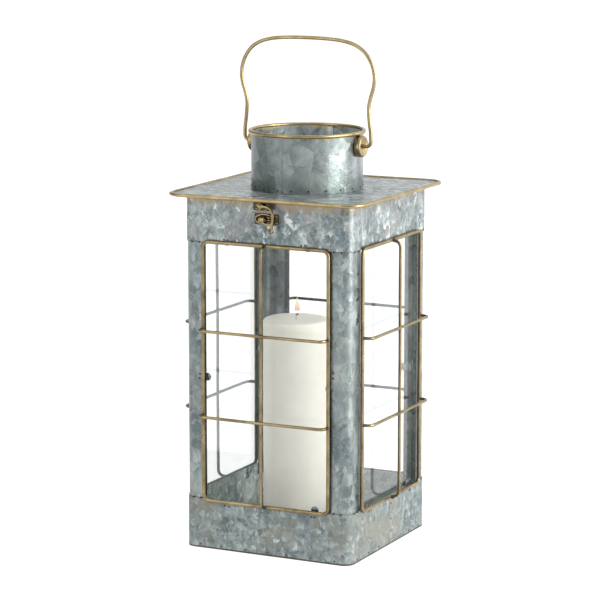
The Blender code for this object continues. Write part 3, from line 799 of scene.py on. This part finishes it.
# side and crown: how far out and how high the wire runs, from the lugs to the grip
bail = {
    "wire": 0.0021, "bend": 0.0060, "foot": 0.0793, "waistIn": 0.0028, "socket": 0.0055,
    "side": ((0.0025, 0.13), (0.0007, 0.25), (0.0, 0.36), (0.0020, 0.45), (0.0058, 0.56), (0.0068, 0.66)),
    "crown": ((0.955, 0.78), (0.85, 0.885), (0.70, 0.95), (0.50, 0.984), (0.25, 0.997), (0.0, 1.0)),
}

# face: shares of the lug's radius, and how deep its dish is there; edge: in from the radius, and down
lug = {
    "radius": 0.012, "thick": 0.0072, "dish": 0.0014, "bore": 0.0025, "steps": 56,
    "face": ((0.50, 0.0014), (0.62, 0.00119), (0.74, 0.00049), (0.82, 0.0001), (0.90, 0.0)),
    "edge": ((0.0007, 0.0003), (0.0002, 0.0009), (0.0, 0.0018)),
}


def makeBail():
    wire = bail["wire"]
    lugLow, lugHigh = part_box("bail_lug_right")
    axle = (lugLow.z + lugHigh.z) / 2
    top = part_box("bail")[1].z - wire - axle
    foot, turnUp = bail["foot"], bail["bend"]
    waist = foot - bail["waistIn"]
    shoulder = waist + bail["side"][-1][0]
    bend = arc(foot - turnUp, turnUp, turnUp, -pi / 2, 0, 8)
    side = [(foot, turnUp)] + [(waist + out, share * top) for out, share in bail["side"]]
    side += [(reach * shoulder, share * top) for reach, share in bail["crown"]]
    right = [(lugHigh.x - bail["socket"], 0)] + bend[:-1] + [tuple(p) for p in smoothPath(side, 6)]
    left = [(-x, z) for x, z in reversed(right[:-1])]
    points = [(x, 0, z + axle) for x, z in right + left]
    makePiece("bailWire", tube(points, wire, False, 5), gold, "bail", "bail")

    radius, thick, dish, bore = (lug[k] for k in ("radius", "thick", "dish", "bore"))
    profile = [(bore, 0), (bore, thick - dish - 0.0002), (bore + 0.0004, thick - dish)]
    profile += [(radius * share, thick - depth) for share, depth in lug["face"]]
    profile += [(radius - back, thick - down) for back, down in lug["edge"]]
    profile += [(radius, 0.0008), (radius - 0.0006, 0), (bore, 0)]
    for name, way in (("Right", 1), ("Left", -1)):
        bm = lathe(profile, (way * lugLow.x, 0, axle), (way, 0, 0), lug["steps"])
        makePiece("bailLug" + name, bm, gold, "lid", "bail_lug_" + name.lower())


makeBail()
print("bail made")


# crossShare: how deep each side's cross wires bow, against the front's
window = {
    "frameWire": 0.0019, "frameCorner": 0.007, "grilleWire": 0.0015, "bend": 0.0070, "wobble": 0.0005, "gap": 0.0003,
    "paintCoat": 0.00025, "crossShare": (1.0, 0.80, 0.85, 0.80),
    "drop": (0.0025, 0.0025, 0.0024), "dropOut": 0.0008, "crossDrop": 0.8,
}
sideNames = ("front", "right", "rear", "left")


def bowPath(half, lift, bend):
    straight = lift - bend
    start = arc(-half + bend, straight, bend, pi, pi / 2, 7)
    finish = [(-a, b) for a, b in reversed(start)]
    middle = [(-half + bend + (2 * half - 2 * bend) * i / 14, lift) for i in range(1, 14)]
    return [(-half, 0)] + start + middle + finish + [(half, 0)]


def makeWindows():
    grille, coat = window["grilleWire"], window["paintCoat"]
    frameWire, wobble, bend = window["frameWire"], window["wobble"], window["bend"]
    frameLow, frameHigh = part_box("window_frame_front")
    plane = (frameLow.y + frameHigh.y) / 2
    halfWide = frameHigh.x - frameWire
    halfTall = (frameHigh.z - frameLow.z) / 2 - frameWire
    middle = (frameHigh.z + frameLow.z) / 2
    foot = frameLow.y - window["gap"]
    upLow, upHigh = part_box("upright_wire_front")
    uprightPath = bowPath((upHigh.z - upLow.z) / 2 - grille, foot - (upLow.y + grille), bend)
    crossBoxes = {level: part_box("cross_wire_front_" + level) for level in ("lower", "upper")}
    crossHalf = crossBoxes["lower"][1].x - grille
    crossOut = foot - (crossBoxes["lower"][0].y + grille)

    drops = bmesh.new()
    for quarter, name in enumerate(sideNames):
        label = name.title()
        points = [wobbled(turned((x, plane, middle + z), quarter), wobble * 0.5)
                  for x, z in roundedLoop(halfWide, halfTall, window["frameCorner"], 8, 14)]
        bm = tube(points, frameWire + coat, True)
        makePiece("windowFrame" + label, bm, wireGold, "lantern_body", "window_frame_" + name)

        points = [wobbled(turned((0, foot - out, middle + z), quarter), wobble) for z, out in uprightPath]
        bm = tube(points, grille + coat)
        for end in (points[0], points[-1]):
            out = copysign(window["dropOut"], end.z - middle)
            pour(drops, blob(end + Vector((0, 0, out)), window["drop"]))
        makePiece("uprightWire" + label, bm, wireGold, "lantern_body", "upright_wire_" + name)

        path = bowPath(crossHalf, crossOut * window["crossShare"][quarter], bend)
        for level, box in crossBoxes.items():
            height = middleOf(box).z
            points = [wobbled(turned((x, foot - out, height), quarter), wobble) for x, out in path]
            bm = tube(points, grille + coat)
            for end in (points[0], points[-1]):
                pour(drops, blob(end, Vector(window["drop"]) * window["crossDrop"]))
            node = f"cross_wire_{name}_{level}"
            makePiece(f"crossWire{label}{level.title()}", bm, wireGold, "lantern_body", node)
    makePiece("wireSolder", drops, solder, "lantern_body")


makeWindows()
print("window wires made")


# topFeet, lowFeet: where each tab stands across the window, and how far its foot hides behind the band
tab = {
    "width": 0.009, "foot": 0.0060, "neck": 0.0035, "sheet": 0.0007, "step": 0.0024, "bendLong": 0.0006,
    "dishIn": 0.0011, "dishEdge": 0.0004, "dishDeep": 0.0004, "soft": 0.00015, "gap": 0.0003, "wallGap": 0.0004,
    "topFeet": ((-0.050, 0.0026), (0.050, 0.0026)), "lowFeet": ((-0.050, 0.0046), (0.059, 0.0)),
    "sideIn": 0.0008, "sideDrop": 0.0068, "rearDrop": 0.0110,
}


def tabMesh():
    # a rounded tongue, stepped up over the glass, its head pressed into a shallow dish
    half = tab["width"] / 2
    foot = tab["foot"]
    length = foot + tab["neck"] + half
    bm = bmesh.new()
    bmesh.ops.create_grid(bm, x_segments=1, y_segments=1, size=0.5)
    bmesh.ops.scale(bm, vec=(length, 2 * half, 1), verts=bm.verts)
    shifted(bm, (length / 2, 0, 0))
    beveled(bm, [v for v in bm.verts if v.co.x > length / 2], half * 0.98, 8, "VERTICES")
    for place in (foot, foot + tab["bendLong"]):
        geom = bm.verts[:] + bm.edges[:] + bm.faces[:]
        bmesh.ops.bisect_plane(bm, geom=geom, plane_co=(place, 0, 0), plane_no=(1, 0, 0))
    for vert in bm.verts:
        if vert.co.x > foot + tab["bendLong"] / 2:
            vert.co.z += tab["step"]
    head = [max(bm.faces, key=lambda f: f.calc_center_median().x)]
    bmesh.ops.inset_region(bm, faces=head, thickness=tab["dishIn"], depth=0.0, use_even_offset=True)
    bmesh.ops.inset_region(bm, faces=head, thickness=tab["dishEdge"], depth=-tab["dishDeep"],
                           use_even_offset=True)
    faceToward(bm, head[0], Vector((0, 0, 1)))
    return bm


def placeTab(foot, toward, quarter):
    toward, inward = Vector(toward), Vector((0, 1, 0))
    turn = Matrix((toward, inward.cross(toward), inward)).transposed().to_4x4()
    return quarterTurn(quarter, 4) @ Matrix.Translation(foot) @ turn


def makeTabs():
    paneLow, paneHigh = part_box("glass_pane_front")
    middle = (paneLow.z + paneHigh.z) / 2 - tab["sideDrop"]
    wall = -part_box("base_band")[1].y + tab["sheet"] + tab["wallGap"]
    reach = tab["foot"] + tab["gap"]
    for quarter, name in enumerate(sideNames):
        bm = bmesh.new()
        height = middle - (tab["rearDrop"] if name == "rear" else 0)
        feet = [((x, wall, paneHigh.z + reach + shy), (0, 0, -1)) for x, shy in tab["topFeet"]]
        feet += [((x, wall, paneLow.z - reach - shy), (0, 0, 1)) for x, shy in tab["lowFeet"]]
        feet += [((way * (paneHigh.x + reach), wall + tab["sideIn"], height), (-way, 0, 0)) for way in (-1, 1)]
        for foot, toward in feet:
            tongue = tabMesh()
            bmesh.ops.transform(tongue, matrix=placeTab(foot, toward, quarter), verts=tongue.verts)
            pour(bm, tongue)
        nodes = [f"glass_tab_{name}_{row}_{end}" for row in ("top", "bottom") for end in ("left", "right")]
        item = makePiece("glassTabs" + name.title(), bm, zinc["tab"], "lantern_body", *nodes)
        addWall(item, tab["sheet"], 1.0, tab["soft"])
        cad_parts["glass_pane_" + name].data.materials[0] = windowGlass


makeTabs()
print("glass and tabs made")


def flatShape(outline, thickness, soft):
    # a plate in the XZ plane, facing the front, with rounded edges
    bm = bmesh.new()
    bm.faces.new([bm.verts.new((x, 0, z)) for x, z in outline])
    bmesh.ops.recalc_face_normals(bm, faces=bm.faces)
    moveGrown(bm, bmesh.ops.extrude_face_region(bm, geom=bm.faces[:]), (0, -thickness, 0))
    bmesh.ops.recalc_face_normals(bm, faces=bm.faces)
    front = [e for e in bm.edges if all(abs(v.co.y + thickness) < 1e-7 for v in e.verts)]
    beveled(bm, front, soft, 2)
    return bm


# curl: each scroll's place, its first and last radius, and its first and last turn in radians
latchPlate = {
    "thick": 0.0009, "front": 0.1080, "soft": 0.00025, "flange": 0.0008, "flangeFront": 0.0006, "flangeSoft": 0.0002,
    "beading": 0.00045, "scroll": 0.00065, "curlAside": 0.0066, "curlUp": 0.0030, "curlRadii": (0.0034, 0.0007),
    "curlTurns": (-0.6, 4.6), "curlSteps": 18,
    "boss": (0.0009, 0.0006, 0.0009), "stud": (0.0011, 0.0007, 0.0011), "studDown": 0.0012,
}


def curlPoints(middleX, middleZ, way):
    steps = latchPlate["curlSteps"]
    first, last = latchPlate["curlTurns"]
    big, small = latchPlate["curlRadii"]
    points = []
    for i in range(steps + 1):
        turn = pi / 2 + way * (first + (last - first) * i / steps)
        radius = big + (small - big) * i / steps
        points.append((middleX + radius * cos(turn), 0, middleZ + radius * sin(turn)))
    return points


def makeLatchPlate():
    # a hanging plate with three lobes, two scrolls and four studs, turned in under the lid
    low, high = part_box("latch_plate")
    middle = (low.x + high.x) / 2
    half = (high.x - low.x) / 2
    face = -latchPlate["front"]
    lobe = half / 3
    line = low.z + lobe
    outline = [(half, high.z), (-half, high.z), (-half, line)]
    for centre in (-2 * lobe, 0, 2 * lobe):
        outline += arc(centre, line, lobe, pi, tau, 10)[1:]
    bm = flatShape(outline, latchPlate["thick"], latchPlate["soft"])
    shifted(bm, (middle, face + latchPlate["thick"], 0))
    pour(bm, block((middle - half, low.y, high.z - latchPlate["flange"]),
                   (middle + half, face + latchPlate["flangeFront"], high.z), latchPlate["flangeSoft"]))
    makePiece("latchPlate", bm, darkGold, "lid", "latch_plate")

    bm = tube([(middle + x, face - 0.0001, z) for x, z in outline[2:]], latchPlate["beading"], False, 2)
    for way in (-1, 1):
        aside, up = way * latchPlate["curlAside"], line + latchPlate["curlUp"]
        curl = tube(curlPoints(aside, up, way), latchPlate["scroll"], False, 3)
        pour(bm, shifted(curl, (middle, face, 0)))
        pour(bm, blob((middle + aside, face - 0.0002, up), latchPlate["boss"]))
        stud = (middle + way * 2 * lobe, face - 0.0001, line - latchPlate["studDown"])
        pour(bm, blob(stud, latchPlate["stud"]))
    makePiece("latchScrolls", bm, latchGold, "lid")


# dome and tail: radii, and distances from the rivet's front and back
latchRivet = {
    "dome": ((0, 0), (0.0010, 0.00012), (0.0019, 0.0006), (0.0025, 0.0013), (0.0012, 0.0014)),
    "tail": ((0.0012, 0.0010), (0.0024, 0.0009), (0.0024, 0), (0, 0)), "steps": 28,
}


def makeLatchRivet():
    # a domed head in front of the hook's eye
    low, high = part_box("latch_rivet")
    profile = [(radius, -low.y - along) for radius, along in latchRivet["dome"]]
    profile += [(radius, -high.y + along) for radius, along in latchRivet["tail"]]
    bm = lathe(profile, ((low.x + high.x) / 2, 0, (low.z + high.z) / 2), (0, -1, 0), latchRivet["steps"])
    makePiece("latchRivet", bm, latchGold, "lid", "latch_rivet")


# arm and claw: across, height and share of the bar's radius, from the middle of the eye
latchHook = {
    "bar": 0.0015,
    "arm": ((0.0027, -0.0006, 1.0), (0.0062, -0.0008, 1.0), (0.0100, -0.0018, 1.0), (0.0132, -0.0045, 1.0),
            (0.0149, -0.0085, 1.0), (0.0153, -0.0130, 1.0), (0.0150, -0.0175, 0.95), (0.0142, -0.0212, 0.95),
            (0.0138, -0.0240, 1.25), (0.0135, -0.0266, 1.90), (0.0131, -0.0288, 1.75), (0.0128, -0.0304, 0.7)),
    "claw": ((0.0150, -0.0186, 1.0), (0.0118, -0.0204, 0.95), (0.0080, -0.0206, 0.85), (0.0048, -0.0196, 0.75),
             (0.0030, -0.0180, 0.55)),
    "eye": ((0.0016, -0.0014), (0.0016, 0.0014), (0.0020, 0.0016), (0.0029, 0.0016), (0.0034, 0.0010),
            (0.0034, -0.0010), (0.0029, -0.0016), (0.0019, -0.0016), (0.0016, -0.0014)),
    "hollow": (0.0133, -0.0024, -0.0274), "hollowSize": (0.0011, 0.0006, 0.0017),
}


def makeLatchHook():
    # an eye, an arm that curls down past the keeper, a claw and a teardrop finger tip
    middle = middleOf(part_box("latch_rivet"))
    middle.y = middleOf(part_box("latch_hook")).y
    bm = bmesh.new()
    for part in ("arm", "claw"):
        path = smoothPath([(x, 0, z, share) for x, z, share in latchHook[part]], 4)
        pour(bm, tube(path, latchHook["bar"], False, 5))
    pour(bm, lathe(latchHook["eye"], (0, 0, 0), (0, -1, 0), 36))
    makePiece("latchHook", shifted(bm, middle), latchGold, "latch_hook", "latch_hook")
    # painted shade: a dark blob on the teardrop stands in for its hollow
    bm = blob(middle + Vector(latchHook["hollow"]), latchHook["hollowSize"])
    makePiece("hookHollowShade", bm, darkGold, "latch_hook")


# barrel: share of the roll's radius, and distance along it; rib: along, forward, and share of the rib's rise
keeper = {
    "corner": 0.002, "sheet": 0.0008, "soft": 0.0002,
    "head": (0.0010, 0.0006, 0.0010), "headAside": 0.0022, "headUp": 0.0024, "headFront": 0.0009,
    "roll": 0.0036, "rollAside": -0.001,
    "barrel": ((0, 0.0024), (0.55, 0.0023), (0.62, 0.0012), (0.97, 0.0009), (1, 0.0003), (1, -0.0052),
               (0.94, -0.0058), (0.5, -0.0061), (0, -0.0062)),
    "rib": ((0.0030, 0.0018, 1.1), (0.0048, -0.0018, 1.0), (0.0066, -0.0024, 0.9), (0.0082, -0.0012, 0.8),
            (0.0090, 0.0022, 0.7)),
    "ribRises": (-0.0031, 0.0, 0.0031), "ribWire": 0.00085,
    "ring": (0.0112, 0.0052), "ringWire": 0.0010, "ringPlace": (-0.0006, 0.0018, 0.0004),
}


def makeLatchKeeper():
    # a plate with a plain barrel, a ring round it and three ribs
    low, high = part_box("latch_keeper")
    middle = Vector(((low.x + high.x) / 2, high.y, (low.z + high.z) / 2))
    half = (high.x - low.x) / 2
    tall = (high.z - low.z) / 2
    # the plate is dark, painted shade standing in for the shadow that the hook casts on it
    bm = flatShape(roundedLoop(half, tall, keeper["corner"], 5), keeper["sheet"], keeper["soft"])
    makePiece("latchKeeper", shifted(bm, middle), darkGold, "lantern_body", "latch_keeper")

    bm = bmesh.new()
    for way in (-1, 1):
        place = (half - keeper["headAside"], -keeper["headFront"], way * (tall - keeper["headUp"]))
        pour(bm, blob(middle + Vector(place), keeper["head"]))
    roll = keeper["roll"]
    axle = Vector((middle.x + keeper["rollAside"], low.y + roll, middle.z))
    pour(bm, lathe([(roll * share, along) for share, along in keeper["barrel"]], axle, (1, 0, 0), 32))
    for rise in keeper["ribRises"]:
        path = smoothPath([(x, y, rise * share) for x, y, share in keeper["rib"]], 4)
        pour(bm, shifted(tube(path, keeper["ribWire"], False, 3), axle))
    loop = [(x, 0, z) for x, z in oval(*keeper["ring"], 40)]
    pour(bm, shifted(tube(loop, keeper["ringWire"], True, 3), axle + Vector(keeper["ringPlace"])))
    makePiece("keeperRelief", bm, latchGold, "lantern_body")


makeLatchPlate()
makeLatchRivet()
makeLatchHook()
makeLatchKeeper()
print("latch made")


screws = {"head": ((0, 0.0009), (0.0009, 0.00085), (0.0017, 0.0005), (0.0021, 0), (0, 0)), "aside": 0.022,
               "sunk": 0.0010, "up": 0.0050, "steps": 20}


def makeHinge():
    # the folded leaves, the pin and the floor pan are right as they are; their finishes and screw heads are added
    finishes = {"hinge_body_leaf": zinc["post"], "hinge_lid_leaf": zinc["post"], "hinge_pin": gold,
                "floor_pan": zinc["base"]}
    for node, finish in finishes.items():
        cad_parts[node].data.materials[0] = finish[0]
    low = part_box("hinge_body_leaf")[0]
    bm = bmesh.new()
    for way in (-1, 1):
        place = (way * screws["aside"], low.y + screws["sunk"], low.z + screws["up"])
        pour(bm, lathe(screws["head"], place, (0, 1, 0), screws["steps"]))
    makePiece("hingeScrews", bm, zinc["collar"], "lantern_body")


makeHinge()
print("hinge made")


# top: shares of the candle's radius and of the dish's depth
candle = {
    "edge": 0.0036, "dish": 0.0014, "top": ((0, 1.3), (0.08, 1.25), (0.35, 0.9), (0.65, 0.5), (0.85, 0.18)),
    "rows": 24, "foot": 0.0012, "footIn": 0.0010, "steps": 96, "wave": 0.00035, "pitch": 0.05,
}

# knots: aside, forward, height and share of the radius; flame: shares of its width and height
wick = {
    "radius": 0.0008, "tip": 0.0060, "sunk": 0.004,
    "flameTall": 0.0188, "flameWide": 0.0032, "flamePlace": (0.0010, 0.0002, 0), "flameUp": 0.0004,
    "flame": ((0, 0), (0.46, 0.03), (0.80, 0.10), (1.0, 0.23), (0.93, 0.38), (0.70, 0.56), (0.42, 0.75),
              (0.17, 0.91), (0, 1)),
}


def makeCandle():
    low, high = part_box("candle")
    radius = (high.x - low.x) / 2
    place = Vector(((low.x + high.x) / 2, (low.y + high.y) / 2, 0))
    edge, dish, rows = candle["edge"], candle["dish"], candle["rows"]
    profile = [(radius * share, high.z - dish * depth) for share, depth in candle["top"]]
    profile += arc(radius - edge, high.z - edge, edge, pi / 2, 0, 5)
    profile += [(radius, high.z - (high.z - low.z) * i / rows) for i in range(1, rows)]
    profile += [(radius, low.z + candle["foot"]), (radius - candle["footIn"], low.z), (0, low.z)]
    bm = lathe(profile, place, (0, 0, 1), candle["steps"])
    for vert in bm.verts:
        out = Vector((vert.co.x - place.x, vert.co.y - place.y, 0))
        if low.z + 0.002 < vert.co.z < high.z - 0.003:
            vert.co += out.normalized() * (noise.noise(vert.co / candle["pitch"]) * candle["wave"])
    makePiece("pillarCandle", bm, wax, "candle", "candle")

    tip = high.z + wick["tip"]
    knots = ((0, 0, high.z - wick["sunk"], 1.0), (0, 0, high.z, 1.0), (0.0003, 0, high.z + 0.004, 1.05),
             (0.0012, 0.0003, tip - 0.0015, 1.0), (0.0024, 0.0005, tip, 0.6))
    path = [(place.x + x, place.y + y, z, share) for x, y, z, share in smoothPath(knots, 5)]
    bm = tube(path, wick["radius"])
    makePiece("wickCord", bm, (makeCotton(tip), "wick_cotton"), "candle", "wick")

    tall, wide = wick["flameTall"], wick["flameWide"]
    start = tip + wick["flameUp"]
    profile = [(wide * out, start + tall * up) for out, up in wick["flame"]]
    bm = lathe(profile, place + Vector(wick["flamePlace"]), (0, 0, 1), 32)
    item = makePiece("flame", bm, (makeFlame(start, start + tall), "ivory_wax"), "candle", sharp=80)
    rounder = item.modifiers.new("round", "SUBSURF")
    rounder.levels = 2
    rounder.render_levels = 2


makeCandle()
print("candle made")


# across each side, with the height over or under a band's edge, or from the floor
spots = {
    "size": 0.0016, "flat": 0.0005, "small": 0.9,
    "topTabs": ((-0.052, 0.0045), (-0.0475, 0.0043), (0.044, 0.0042), (0.0485, 0.0046)),
    "lowTabs": ((-0.053, -0.0060), (-0.0475, -0.0062), (0.0565, -0.0062), (0.0600, -0.0064)),
    "sideTabs": ((-0.0842, 0.2015), (-0.0845, 0.1965), (0.0825, 0.2170), (0.0828, 0.2115)), "sideTabsIn": 0.0009,
    "posts": (0.0835, 0.0925), "postsOff": 0.0002,
    "floorCount": 7, "floorFrom": -0.084, "floorStep": 0.028, "floorUp": 0.0040, "floorSize": 0.8,
    "seam": ((0.0046, 0.048), (0.0046, 0.030), (0.0046, 0.0157)), "seamOut": 0.0006,
    "collarCount": 21, "collarUp": 0.0032, "collarStart": 0.35, "proud": 0.0001,
}


def spot(point, outward, size=1.0):
    turn = Vector((0, 0, 1)).rotation_difference(Vector(outward)).to_matrix()
    wide = spots["size"] * size
    return blob(point, (wide, wide * 0.85, spots["flat"]), turn, 1)


def makeBodySpots():
    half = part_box("base_band")[1].x
    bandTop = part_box("base_band")[1].z
    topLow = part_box("top_band")[0].z
    small, off = spots["small"], spots["postsOff"]
    bm = bmesh.new()
    for quarter in range(4):
        out = turned((0, -1, 0), quarter)
        marks = [(x, topLow + z, small) for x, z in spots["topTabs"]]
        marks += [(x, bandTop + z, small) for x, z in spots["lowTabs"]]
        for way in (-1, 1):
            for x in spots["posts"]:
                marks += [(way * x, topLow - off, 1.0), (way * x, bandTop + off, 1.0)]
        for i in range(spots["floorCount"]):
            wander = noise.noise(Vector((i * 1.7, quarter * 3.1, 0.4)))
            across = spots["floorFrom"] + i * spots["floorStep"] + wander * 0.006
            marks.append((across, spots["floorUp"] + wander * 0.0012, spots["floorSize"]))
        for x, z, size in marks:
            pour(bm, spot(turned((x, -half - spots["proud"], z), quarter), out, size))
        for x, z in spots["sideTabs"]:
            pour(bm, spot(turned((x, -half + spots["sideTabsIn"], z), quarter), out, small))
    for y, z in spots["seam"]:
        pour(bm, spot((half + spots["seamOut"], y, z), (1, 0, 0), small))
    makePiece("weldSpots", bm, solder, "lantern_body")


def makeCollarSpots():
    low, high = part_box("collar")
    count = spots["collarCount"]
    bm = bmesh.new()
    for i in range(count):
        turn = tau * (i + spots["collarStart"]) / count + 0.03 * noise.noise(Vector((i * 2.3, 0, 0)))
        out = Vector((cos(turn), sin(turn), 0))
        up = low.z + spots["collarUp"] + 0.0008 * noise.noise(Vector((0, i * 1.9, 0)))
        pour(bm, spot(out * (high.x + spots["proud"]) + Vector((0, 0, up)), out))
    makePiece("collarSpots", bm, solder, "lid")


makeBodySpots()
makeCollarSpots()
print("weld spots made")


studio = {
    "floorHalf": 30.0, "floorTone": 0.30, "floorGlow": 0.86, "floorGap": 0.0002, "worldTone": (0.30, 0.3015, 0.303),
    "sunPower": 1.6, "sunAngle": 100, "panelAim": (0, 0, 0.25),
    "cameraPlace": (1.32840, -2.70138, 0.81184), "cameraAim": (-0.00737, -0.00365, 0.27639), "lens": 160.45,
}

# name, azimuth from the front, distance, height, width, height of the panel, brightness
panels = (
    ("rightPanel", 93, 2.3, 1.05, 1.9, 2.0, 7.2),
    ("edgePanel", 140, 2.7, 1.10, 1.2, 2.0, 2.4),
    ("leftPanel", -26, 2.8, 1.15, 1.5, 2.0, 2.05),
    ("rearPanel", 196, 3.2, 1.30, 4.4, 2.4, 0.9),
)


def addToScene(name, data, place=(0, 0, 0), aim=None):
    item = bpy.data.objects.new(name, data)
    scene.collection.objects.link(item)
    item.location = place
    if aim:
        item.rotation_euler = (Vector(aim) - item.location).to_track_quat("-Z", "Y").to_euler()
    return item


def makeFloor():
    bm = bmesh.new()
    bmesh.ops.create_grid(bm, x_segments=1, y_segments=1, size=studio["floorHalf"])
    mesh = bpy.data.meshes.new("studioFloor")
    bm.to_mesh(mesh)
    bm.free()
    tone = studio["floorTone"]
    mesh.materials.append(Paint("studio_floor").finish({
        "Base Color": (tone, tone, tone, 1), "Roughness": 0.9, "Specular IOR Level": 0.0,
        "Emission Color": (1, 1, 1, 1), "Emission Strength": studio["floorGlow"]}))
    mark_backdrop(addToScene("studioFloor", mesh, (0, 0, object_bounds()[0].z - studio["floorGap"])))


def makeStudio():
    world = bpy.data.worlds.new("studio")
    world.use_nodes = True
    world.node_tree.nodes["Background"].inputs["Color"].default_value = (*studio["worldTone"], 1)
    scene.world = world

    light = bpy.data.lights.new("overhead", "SUN")
    light.energy = studio["sunPower"]
    light.angle = radians(studio["sunAngle"])
    addToScene("overhead", light)

    for name, azimuth, distance, height, wide, tall, brightness in panels:
        light = bpy.data.lights.new(name, "AREA")
        light.shape = "RECTANGLE"
        light.size = wide
        light.size_y = tall
        light.energy = brightness * pi * wide * tall
        turn = radians(azimuth)
        place = (distance * sin(turn), -distance * cos(turn), height)
        addToScene(name, light, place, studio["panelAim"]).visible_camera = False

    camera = bpy.data.cameras.new("camera")
    camera.lens = studio["lens"]
    camera.sensor_width = 36
    scene.camera = addToScene("camera", camera, studio["cameraPlace"], studio["cameraAim"])
    scene.view_settings.view_transform = "Standard"


makeFloor()
makeStudio()
print("studio made")
